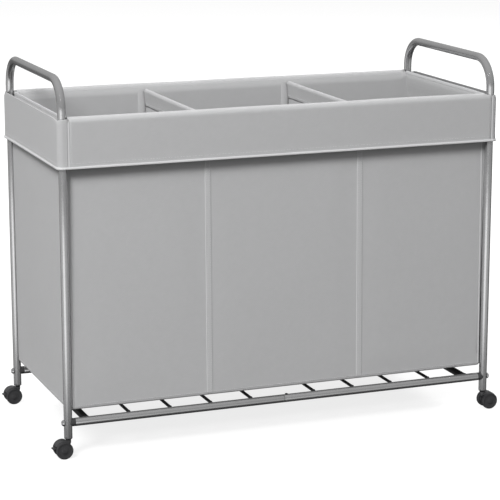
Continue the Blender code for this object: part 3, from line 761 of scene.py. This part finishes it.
# ---- bag
CORNER_REACH = 0.020
CORNER_R = TUBE_R + 0.0020
CORNER_STEPS = 12
LONG_STEPS, END_STEPS = 72, 30
SEAM_LOW_Z, SEAM_HIGH_Z = BAG_BOTTOM_Z + 0.006, LEAN_Z - 0.004
STRIP_LIFT = FABRIC / 2 + 0.0002
STITCH_LIFT = FABRIC / 2 + 0.0001
STRIP_X, WELT_X, INNER_X = 0.0050, -0.0008, -0.0095    # from a divider's plane
SEAM_STITCHES_X = (0.0020, 0.0082)
HEM_REACH = LEG_Y - 0.0105
BINDING_X = LEG_X - 0.0112
LONG_WALL_WAVES = ((0.0008, 0.19, 1.7), (0.0002, 0.07, 6.4))
END_WALL_WAVES = ((0.0010, 0.17, 9.2), (0.0002, 0.06, 3.3))


def wall_y(z):
    """Distance of a long wall from the cart's middle: it hangs straight from its top rail."""
    rise = min(max((z - BAG_BOTTOM_Z) / (TOP_RAIL_Z - BAG_BOTTOM_Z), 0.0), 1.0)
    return PANEL_Y + (RIM_Y - PANEL_Y) * rise


def bag_half(z):
    """Half width and half depth of the bag at a height."""
    lean = smoothstep((z - LEAN_Z) / 0.028)
    return PANEL_X + (RIM_X - PANEL_X) * lean, wall_y(z)


def corner_points(half_x, half_y):
    """The bag's front right corner in plan, passing inside the leg."""
    gap_x, gap_y = LEG_X - half_x, LEG_Y - half_y
    start = math.atan2(gap_y, CORNER_REACH)
    end = math.atan2(CORNER_REACH, gap_x)
    points = []
    for i in range(CORNER_STEPS + 1):
        angle = start + (end - start) * i / CORNER_STEPS
        reach = max(CORNER_R, gap_x / math.cos(angle), gap_y / math.sin(angle))
        points.append((LEG_X - reach * math.cos(angle), -LEG_Y + reach * math.sin(angle)))
    return points


def bag_ring(z):
    """The bag's outline in plan at a height, counter-clockwise."""
    half_x, half_y = bag_half(z)
    corner = corner_points(half_x, half_y)
    long_reach, end_reach = LEG_X - CORNER_REACH, LEG_Y - CORNER_REACH
    front = [(x, -half_y) for x in even(-long_reach, long_reach, LONG_STEPS)[1:-1]]
    right = [(half_x, y) for y in even(-end_reach, end_reach, END_STEPS)[1:-1]]
    half_turn = front + corner + right + [(x, -y) for x, y in corner[::-1]]
    return half_turn + [(-x, -y) for x, y in half_turn]


def bag_top(x):
    """Height of the bag's top edge: low behind the top rails, high at the ends."""
    end = smoothstep((abs(x) - (LEG_X - 0.014)) / 0.006)
    low = TOP_RAIL_Z + 0.0020
    return low + (LINER_TOP_Z - 0.0004 - low) * end


def on_end_wall(x, y):
    return abs(abs(x) - PANEL_X) < 0.009 and abs(y) < LEG_Y - CORNER_REACH


def belly(x, y, z):
    """How far the bag's wall stands out of its flat plane."""
    height = (z - BAG_BOTTOM_Z) / (LEAN_Z - BAG_BOTTOM_Z)
    upright = smoothstep(height / 0.10) * smoothstep((1.0 - height) / 0.12)
    if abs(abs(y) - wall_y(z)) < 0.001 and abs(x) < LEG_X - CORNER_REACH:
        edges = (DIVIDER_X, LEG_X - CORNER_REACH)
        distance = min(abs(abs(x) - edge) for edge in edges)
        spare = smoothstep((distance - 0.010) / 0.040)
        return (0.0007 + ripple(x, z, LONG_WALL_WAVES)) * spare * upright
    if on_end_wall(x, y):
        spare = smoothstep((LEG_Y - CORNER_REACH - abs(y)) / 0.045)
        return (ripple(y, z, END_WALL_WAVES) - 0.0004) * spare * upright
    return 0.0


BAG_TURN_R = 0.0040
FLOOR_GAP = 0.0006
FLOOR_SAG = 0.0007


def build_bag():
    """The bag's walls in one cloth, turned in under the floor, and what is sewn to them."""
    base = bag_ring(BAG_BOTTOM_Z)
    low = BAG_BOTTOM_Z + BAG_TURN_R
    rows = []
    for share in even(0.0, 1.0, 52):
        heights = [bag_top(x) + (low - bag_top(x)) * (1 - (1 - share) ** 1.35) for x, y in base]
        rings = {height: bag_ring(height) for height in {round(z, 6) for z in heights}}
        row = []
        for i, z in enumerate(heights):
            x, y = rings[round(z, 6)][i]
            side = Vector((0, math.copysign(1, y), 0))
            if on_end_wall(x, y):
                side = Vector((math.copysign(1, x), 0, 0))
            row.append(Vector((x, y, z)) + side * belly(x, y, z))
        rows.append(row)
    turned = [(BAG_TURN_R * (1 - math.cos(angle)), BAG_TURN_R * (1 - math.sin(angle)))
              for angle in (math.pi / 6, math.pi / 3, math.pi / 2)]
    for inset, rise in turned + [(0.010, 0.0), (0.018, 0.0)]:
        rows.append([Vector((x * (1 - inset / PANEL_X), y * (1 - inset / PANEL_Y),
                             BAG_BOTTOM_Z + rise + FLOOR_GAP)) for x, y in base])
    walls = ["bag_front", "bag_left", "bag_rear", "bag_right"]
    cloth("bag_walls_cloth", rows, cloth_grey,
          nodes=walls, closed=True, inner_face_shade=bag_inside_painted_shade)
    build_floor()
    build_wall_seams()
    build_liner_hems()


def build_floor():
    """Floor of the bag, stitched to the walls, with a slight hang."""
    half_x, half_y = PANEL_X - 0.006, PANEL_Y - 0.006
    rows = []
    for y in even(-half_y, half_y, 26):
        clip = max(abs(y) - (half_y - 0.010), 0.0)
        row = []
        for x in even(clip - half_x, half_x - clip, 60):
            edge = min(half_x - abs(x), half_y - abs(y))
            sag = FLOOR_SAG * smoothstep(edge / 0.05) * (0.6 + 0.4 * drift(x, y, 0.1, 3.9))
            row.append(Vector((x, y, BAG_BOTTOM_Z + 0.0020 - sag)))
        rows.append(row)
    cloth("bag_floor_cloth", rows, bag_inside_painted_shade,
          flat_uv=True)


def build_wall_seams():
    """Lapped seams that hold the dividers, outside and inside, and the walls' stitches."""
    strip = rounded_bar(0.0004, 0.0055, 0.0003, 2)
    inner_strip = rounded_bar(0.0005, 0.0075, 0.0004, 2)
    outer, welts, inner, threads = bmesh.new(), bmesh.new(), bmesh.new(), bmesh.new()
    for side in (-1, 1):
        out = (0, side, 0)
        outside = [(side * (wall_y(z) + STRIP_LIFT), z) for z in even(SEAM_LOW_Z, SEAM_HIGH_Z, 30)]
        inside = [(side * (wall_y(z) - FABRIC / 2 - 0.0004), z)
                  for z in even(SEAM_LOW_Z, TOP_RAIL_Z - 0.0020, 24)]
        for x in (-DIVIDER_X, DIVIDER_X):
            sweep(outer, [(x + STRIP_X, y, z) for y, z in outside], strip, out)
            sweep(welts, [(x + WELT_X, y + side * 0.0003, z) for y, z in outside],
                  circle(0.0009, 12), out)
            for offset in SEAM_STITCHES_X:
                stitch_row(threads, [(x + offset, y + side * 0.0005, z) for y, z in outside], out)
            sweep(inner, [(x + INNER_X, y, z) for y, z in inside], inner_strip, out)
    piece("wall_seam_strips", outer, strip_grey, smooth=50)
    # The welts take the tape's lighter grey: a painted highlight.
    piece("wall_seam_welts", welts, tape_painted_highlight, smooth=50)
    piece("divider_seam_strips", inner, strip_grey, smooth=50)
    z = BAG_BOTTOM_Z + 0.0075
    for side in (-1, 1):
        y = side * (PANEL_Y + STITCH_LIFT)
        reach = LEG_X - CORNER_REACH
        stitch_row(threads, [(-reach, y, z), (reach, y, z)], (0, side, 0))
        x = side * (PANEL_X + STITCH_LIFT)
        reach = LEG_Y - CORNER_REACH
        stitch_row(threads, [(x, -reach, z), (x, reach, z)], (side, 0, 0))
    piece("bag_stitches", threads, thread_grey, smooth=70)


def build_liner_hems():
    """Folded hem along the top of each end wall, and upright binding at the bag's corners."""
    bm, threads = bmesh.new(), bmesh.new()
    section = [(-0.0050, -0.0009), (-0.0052, 0.0), (-0.0050, 0.0009), (-0.0008, 0.0011),
               (0.0003, 0.0008), (0.0006, 0.0), (0.0003, -0.0008), (-0.0008, -0.0011)]
    for side in (-1, 1):
        x = side * RIM_X
        path = [(x, y, LINER_TOP_Z + 0.0006 * drift(k * 0.02, side, 0.08, 2.2))
                for k, y in enumerate(even(-HEM_REACH, HEM_REACH, 24))]
        sweep(bm, path, section, (0, 0, 1))
        for face in (-1, 1):
            line = [(x + face * 0.0010, y, z - 0.0038) for x, y, z in path]
            stitch_row(threads, line, (face, 0, 0))
    # The hems' lighter grey is a painted highlight on the folded top edges.
    piece("liner_hems", bm, welt_painted_highlight, smooth=60)
    piece("liner_stitches", threads, thread_grey, smooth=70)
    # Upright bindings on the front and rear walls beside the legs.
    bm = bmesh.new()
    for side in (-1, 1):
        line = [(side * (wall_y(z) + STRIP_LIFT), z) for z in even(SEAM_LOW_Z, SEAM_HIGH_Z, 24)]
        for x in (-BINDING_X, BINDING_X):
            sweep(bm, [(x, y, z) for y, z in line], rounded_bar(0.0006, 0.0014, 0.0005, 3),
                  (0, side, 0))
    # Their lighter grey is a painted highlight on the walls' folded edges.
    piece("corner_bindings", bm, welt_painted_highlight, smooth=60)


CASING_R = 0.0047
CASING_DIP = 0.00064


def build_dividers():
    """Dividers whose top edge is a casing round a stiffening rod."""
    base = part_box("divider_right")[0].z
    outline = [(0.0, z) for z in even(base, ROD_Z - 0.032, 30)]
    outline += [(0.0004, ROD_Z - 0.026), (0.0016, ROD_Z - 0.0150)]
    outline += arc((0, ROD_Z), CASING_R, CASING_R, -18, 198, 18)
    outline += [(-0.0026, ROD_Z - 0.0150), (-0.0014, ROD_Z - 0.0260), (-0.0013, ROD_Z - 0.030)]
    threads = bmesh.new()
    for name, side in (("left", -1), ("right", 1)):
        waves = ((0.0035, 0.16, 4.4 + side), (0.0010, 0.05, side))
        rows = []
        for x, z in outline:
            low = smoothstep((z - base) / 0.05) * smoothstep((ROD_Z - 0.03 - z) / 0.06)
            row = []
            for y in even(-DIVIDER_HALF, DIVIDER_HALF, 36):
                edge = smoothstep((DIVIDER_HALF - abs(y)) / 0.04)
                wave = ripple(y, z, waves) * low * edge
                dip = CASING_DIP * math.cos(math.pi * y / (2 * DIVIDER_HALF)) * (z > ROD_Z - 0.02)
                row.append(Vector((side * DIVIDER_X + x + wave, y, z - dip)))
            rows.append(row)
        cloth(f"divider_{name}_cloth", rows, bag_inside_painted_shade)
        for face, offset in ((-1, -0.0024), (1, 0.0012)):
            for z in (ROD_Z - 0.0240, ROD_Z - 0.0275):
                line = [(side * DIVIDER_X + offset, y, z)
                        for y in even(0.004 - DIVIDER_HALF, DIVIDER_HALF - 0.004, 2)]
                stitch_row(threads, line, (face, 0, 0))
    piece("divider_stitches", threads, thread_grey, smooth=70)


def build_boards():
    """Stiff boards on the bag's floor, with eased edges and corners."""
    for name in ("left", "middle", "right"):
        low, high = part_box(f"board_{name}")
        centre = (low + high) / 2
        size = high - low
        outline = rounded_bar(size.x / 2, size.y / 2, 0.006, 5)
        ease = 0.0004
        rings = []
        for z, inset in ((low.z, ease), (low.z + ease, 0.0), (high.z - ease, 0.0),
                         (high.z, ease)):
            rings.append([centre + Vector((u * (1 - inset / size.x * 2),
                                           v * (1 - inset / size.y * 2), z - centre.z))
                          for u, v in outline])
        piece(f"board_{name}_panel", skin(bmesh.new(), rings), fibre_board, node=f"board_{name}")


# ---- casters
TRAIL = middle("caster_axle_rear_right").x - LEG_X
AXLE_Z = middle("caster_axle_rear_right").z
WHEEL_R = 0.0166
HOOD_R = 0.0174
HOOD_BORE = 0.0150
HOOD_HALF = 0.0081
NECK_TOP_Z = 0.0340
SOCKET_FLANGE_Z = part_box("caster_socket_rear_right")[0].z
STEM = (
    (0.0004, 0.0330), (0.0032, 0.0330), (0.0032, 0.0520), (0.0027, 0.0525), (0.0027, 0.0545),
    (0.0032, 0.0550), (0.0032, 0.0580), (0.0022, 0.0590), (0.0004, 0.0590),
)    # (radius, height), as in the other turned outlines
SOCKET = (
    (0.0036, SOCKET_FLANGE_Z), (0.0050, SOCKET_FLANGE_Z), (0.0055, 0.0351), (0.0076, 0.0368),
    (0.0080, 0.0373), (0.0080, 0.0376), (0.0078, 0.0379), (0.0064, 0.0379), (0.0064, 0.0600),
    (0.0036, 0.0605),
)


def wheel_shape():
    """One wheel of a twin; its outer face looks along +Y from the axle."""
    profile = [
        (0.0023, 0.0034), (0.0112, 0.0034), (0.0117, 0.0039), (0.0117, 0.0068),
        (0.0121, 0.0072), (0.0144, 0.0072), (0.0152, 0.0074), (0.0161, 0.0079),
        (0.0165, 0.0085), (WHEEL_R, 0.0094), (WHEEL_R, 0.0132), (0.0165, 0.0140),
        (0.0161, 0.0146), (0.0155, 0.0149), (0.0148, 0.0150), (0.0138, 0.0150),
        (0.0135, 0.0149), (0.0133, 0.0143), (0.0130, 0.0140), (0.0127, 0.0139),
        (0.0090, 0.0142), (0.0062, 0.0144), (0.0059, 0.0145), (0.0057, 0.0149),
        (0.0054, 0.0151), (0.0030, 0.0153), (0.0006, 0.0153),
    ]
    return lathe(bmesh.new(), profile, 64, "Y")


def about(centre, outline, scale, y):
    """An upright outline of (x, z) points, scaled about its centre, at one y."""
    return [Vector((centre[0] + (x - centre[0]) * scale, y, centre[1] + (z - centre[1]) * scale))
            for x, z in outline]


def hood_shape():
    """Housing of a caster: a hood between the wheels, a web and a neck."""
    axle = (TRAIL, AXLE_Z)
    middle_r = (HOOD_R + HOOD_BORE) / 2
    path = [(x, 0, z) for x, z in arc(axle, middle_r, middle_r, 26, 134, 26)]
    bm = bmesh.new()
    sweep(bm, path, rounded_bar(HOOD_HALF, (HOOD_R - HOOD_BORE) / 2, 0.0009), (0, 1, 0),
          scale=lambda s: 0.86 + 0.14 * smoothstep(min(s, 1 - s) * 14))
    web_r = HOOD_R - 0.0014
    web = arc(axle, web_r, web_r, 30, 130, 18) + arc(axle, 0.0050, 0.0050, 190, 350, 10)
    skin(bm, [about(axle, web, scale, y)
              for y, scale in ((-0.0030, 0.94), (-0.0026, 1.0), (0.0026, 1.0), (0.0030, 0.94))])
    neck = [(0.0004, 0.0240), (0.0036, 0.0244), (0.0044, 0.0262), (0.0050, 0.0285),
            (0.0052, 0.0310), (0.0052, 0.0330), (0.0050, 0.0337), (0.0044, NECK_TOP_Z),
            (0.0036, NECK_TOP_Z + 0.0002), (0.0004, NECK_TOP_Z + 0.0002)]
    return lathe(bm, neck, 36)


def lever_shape():
    """Foot lever of the brake: a ribbed pad that narrows to its tip."""
    low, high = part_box("brake_lever_front_left")
    half = (high.y - low.y) / 2
    outline = arc((0.0256, 0.0192), 0.0019, 0.0019, 100, 250, 10)
    outline += [(0.0278, 0.0176), (0.0305, 0.0184), (0.0327, 0.0194), (0.0333, 0.0199),
                (0.0333, 0.0204), (0.0329, 0.0207), (0.0316, 0.0209), (0.0313, 0.0213),
                (0.0309, 0.0210), (0.0302, 0.0211), (0.0299, 0.0215), (0.0295, 0.0212),
                (0.0287, 0.0213)]
    rings = [about((0.0290, 0.0197), outline, scale, y)
             for y, scale in ((-half, 0.86), (-half + 0.0006, 1.0), (half - 0.0006, 1.0),
                              (half, 0.86))]
    return skin(bmesh.new(), rings)


def build_casters():
    """Twin-wheel casters, each turned so that its wheels trail outwards, and their sockets."""
    for name, side_x, side_y in CORNERS:
        place = (side_x * LEG_X, side_y * LEG_Y, 0)
        turn = 0.0 if side_x > 0 else math.pi
        common = {"location": place, "turn": turn}
        piece(f"caster_hood_{name}", hood_shape(), moulded_black, body=f"caster_{name}",
              node=f"caster_housing_{name}", smooth=38, **common)
        piece(f"caster_stem_{name}", lathe(bmesh.new(), STEM, 28), dark_steel_and_painted_shade,
              body=f"caster_{name}", slot="zinc_steel", **common)
        for near_far, side in (("near", -1), ("far", 1)):
            bm = wheel_shape()
            if side * side_x < 0:
                bmesh.ops.rotate(bm, verts=bm.verts, matrix=Matrix.Rotation(math.pi, 3, "Z"))
            bmesh.ops.translate(bm, verts=bm.verts, vec=(TRAIL, 0, AXLE_Z))
            piece(f"tyre_{name}_{near_far}", bm, wheel_black, body=f"wheel_{name}_{near_far}",
                  node=f"wheel_{name}_{near_far}", smooth=30, **common)
        piece(f"socket_{name}", lathe(bmesh.new(), SOCKET, 40, loop=True), moulded_black,
              node=f"caster_socket_{name}", location=place)
        if f"brake_lever_{name}" in frame["nodes"]:
            piece(f"brake_pad_{name}", lever_shape(), moulded_black, body=f"brake_{name}",
                  node=f"brake_lever_{name}", smooth=30, **common)


# ---- kept CAD nodes
def finish_kept_nodes():
    """Gives the CAD nodes that stay their finished materials."""
    finishes = (
        ("top_rail", satin_steel), ("rail_sleeve", dark_steel_and_painted_shade), ("divider_rod", dark_steel_and_painted_shade),
        ("lock_screw", dark_steel_and_painted_shade), ("saddle_washer", moulded_black), ("caster_axle", dark_steel_and_painted_shade),
    )
    for obj in bpy.data.objects:
        for prefix, mat in finishes:
            if obj.get("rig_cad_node", "").startswith(prefix):
                for slot in obj.material_slots:
                    slot.material = mat


# ---- light and camera
LIGHT_SIZE = 1.9
LIGHT_TARGET = Vector((0, 0, 0.35))
KEY_POWER, REAR_POWER = 378, 300
FLOOR_HALF = 40.0
FLOOR_DROP = 0.0002
SOFT_LEVELS = greys((0.0, 0.10), (0.46, 0.28), (0.56, 0.46), (1.0, 0.64))
CARD_HEADING = math.radians(-143)
CARD_LEVELS = greys((0.0, 0.20), (0.20, 0.08), (0.46, 0.50), (0.90, 0.62), (1.0, 1.6))
CARD_RISE = greys((0.18, 0.0), (0.28, 1.0), (0.47, 1.0), (0.53, 0.0))
MIRROR_LEVELS = greys((0.0, 0.02), (0.42, 0.07), (0.56, 0.34), (1.0, 0.50))
CAMERA_PLACE = (-1.4134, -3.6771, 1.2150)
CAMERA_YAW, CAMERA_PITCH = math.radians(21.058), math.radians(12.701)
LENS_MM = 143.27


def area_light(name, location, power):
    """A square light aimed at the cart, which polished parts don't mirror."""
    data = bpy.data.lights.new(name, "AREA")
    data.size = LIGHT_SIZE
    data.energy = power
    obj = bpy.data.objects.new(name, data)
    bpy.context.scene.collection.objects.link(obj)
    obj.location = location
    obj.rotation_euler = (LIGHT_TARGET - obj.location).to_track_quat("-Z", "Y").to_euler()
    obj.visible_glossy = False


def build_world():
    """A white tent of soft light, with cards that only polished parts mirror."""
    world = bpy.data.worlds.new("studio")
    bpy.context.scene.world = world
    world.use_nodes = True
    world.node_tree.nodes.clear()

    def background(colour):
        return add_node(world, "ShaderNodeBackground", [("Color", colour)]).outputs[0]

    def choose(ray, other, chosen):
        return add_node(world, "ShaderNodeMixShader",
                        [(0, rays[ray]), (1, other), (2, chosen)]).outputs[0]

    def share_of(value):
        """Moves a value from the range -1 to 1 into the range 0 to 1."""
        spread = add_node(world, "ShaderNodeMapRange", [("Value", value), ("From Min", -1.0)])
        return spread.outputs[0]

    rays = add_node(world, "ShaderNodeLightPath").outputs
    place = add_node(world, "ShaderNodeTexCoord").outputs["Generated"]
    x, y, z = add_node(world, "ShaderNodeSeparateXYZ", [(0, place)]).outputs
    height = share_of(z)
    heading = math_node(world, "SUBTRACT", math_node(world, "ARCTAN2", x, y), CARD_HEADING)
    cards = ramp(world, share_of(math_node(world, "COSINE", heading)), CARD_LEVELS)
    mirror = add_node(world, "ShaderNodeMix", [
        (0, ramp(world, height, CARD_RISE)), (6, ramp(world, height, MIRROR_LEVELS)), (7, cards),
    ], data_type="RGBA").outputs[2]
    tent = background(ramp(world, height, SOFT_LEVELS))
    lit = choose("Is Glossy Ray", tent, background(mirror))
    seen = choose("Is Camera Ray", lit, background((1, 1, 1, 1)))
    add_node(world, "ShaderNodeOutputWorld", [("Surface", seen)])


def build_stage():
    """A large pale floor that only the camera sees, and two lights."""
    bm = bmesh.new()
    bm.faces.new([bm.verts.new((x * FLOOR_HALF, y * FLOOR_HALF, -FLOOR_DROP))
                  for x, y in ((-1, -1), (1, -1), (1, 1), (-1, 1))])
    mesh = bpy.data.meshes.new("floor")
    bm.to_mesh(mesh)
    bm.free()
    floor = bpy.data.objects.new("floor", mesh)
    bpy.context.scene.collection.objects.link(floor)
    mat = new_material("pale_floor", (
        ("Base Color", (0.25, 0.25, 0.25, 1)), ("Emission Color", (1.0, 1.0, 1.0, 1)),
        ("Emission Strength", 0.80), ("Roughness", 0.8), ("Specular IOR Level", 0.1),
    ))[0]
    mesh.materials.append(mat)
    floor.visible_diffuse = False
    floor.visible_glossy = False
    area_light("key", (-3.4, -3.5, 4.2), KEY_POWER)
    area_light("rear_key", (3.6, 3.4, 4.2), REAR_POWER)


def build_camera():
    """Front left view from a little above, with the picture's long-lens perspective."""
    data = bpy.data.cameras.new("camera")
    camera = bpy.data.objects.new("camera", data)
    bpy.context.scene.collection.objects.link(camera)
    camera.location = CAMERA_PLACE
    camera.rotation_euler = (math.pi / 2 - CAMERA_PITCH, 0.0, -CAMERA_YAW)
    data.lens = LENS_MM
    bpy.context.scene.camera = camera


build_camera()
build_world()
build_stage()
bpy.context.scene.view_settings.view_transform = "Standard"
build_legs()
build_handles()
build_base()
build_bolts()
build_band()
build_bag()
build_dividers()
build_boards()
build_casters()
finish_kept_nodes()
